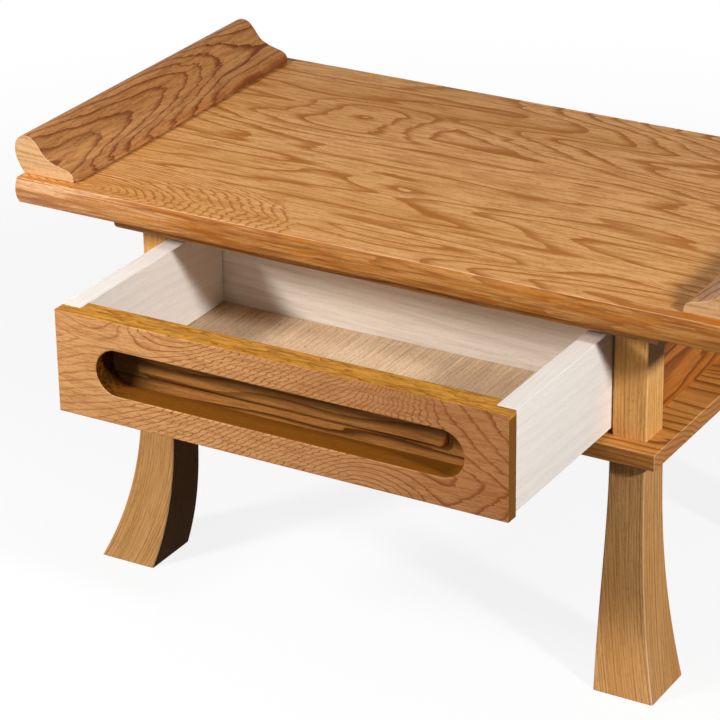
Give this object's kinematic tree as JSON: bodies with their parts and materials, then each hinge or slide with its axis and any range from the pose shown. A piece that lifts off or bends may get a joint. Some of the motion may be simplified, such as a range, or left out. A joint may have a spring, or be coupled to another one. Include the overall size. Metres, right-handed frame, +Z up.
{
  "type": "sutra desk",
  "caption": "Low wooden sutra desk with rolled scroll ends, legs that sweep outwards and a drawer with a long finger slot.",
  "frame": {"origin": "on the floor, in the middle of the open desk's bounding box", "axes": "+X along the desk to the right, +Y from the drawer's face to the back, +Z up"},
  "size_m": [0.559, 0.409, 0.3142],
  "materials": {
    "top_wood": "satin",
    "scroll_wood": "satin",
    "frame_wood": "satin",
    "drawer_face_wood": "satin",
    "pale_wood": "matte",
    "drawer_floor_wood": "matte",
    "screw_steel": "satin"
  },
  "bodies": {
    "desk": {"top_board": "top_wood", "scroll_end_left": "scroll_wood", "scroll_end_right": "scroll_wood", "upper_board": "frame_wood", "shelf_board": "frame_wood", "post_front_left": "frame_wood", "post_front_right": "frame_wood", "post_back_left": "frame_wood", "post_back_right": "frame_wood", "leg_front_left": "frame_wood", "leg_front_right": "frame_wood", "leg_back_left": "frame_wood", "leg_back_right": "frame_wood", "side_panel_left": "frame_wood", "side_panel_right": "frame_wood", "back_panel": "frame_wood", "drawer_runner_left": "pale_wood", "drawer_runner_right": "pale_wood", "drawer_stop_left": "pale_wood", "drawer_stop_right": "pale_wood", "top_screw_front_left": "screw_steel", "top_screw_front_right": "screw_steel", "top_screw_back_left": "screw_steel", "top_screw_back_right": "screw_steel", "scroll_screw_front_left": "screw_steel", "scroll_screw_front_right": "screw_steel", "scroll_screw_back_left": "screw_steel", "scroll_screw_back_right": "screw_steel"},
    "drawer": {"drawer_front": "drawer_face_wood", "drawer_side_left": "pale_wood", "drawer_side_right": "pale_wood", "drawer_back": "pale_wood", "drawer_bottom": "drawer_floor_wood", "pull_backing": "drawer_face_wood", "finger_bar": "drawer_face_wood"}
  },
  "joints": [
    {"name": "drawer_slide", "type": "slide", "parent": "desk", "child": "drawer", "axis": [0, -1, 0], "range_m": [-0.145, 0.04]}
  ]
}
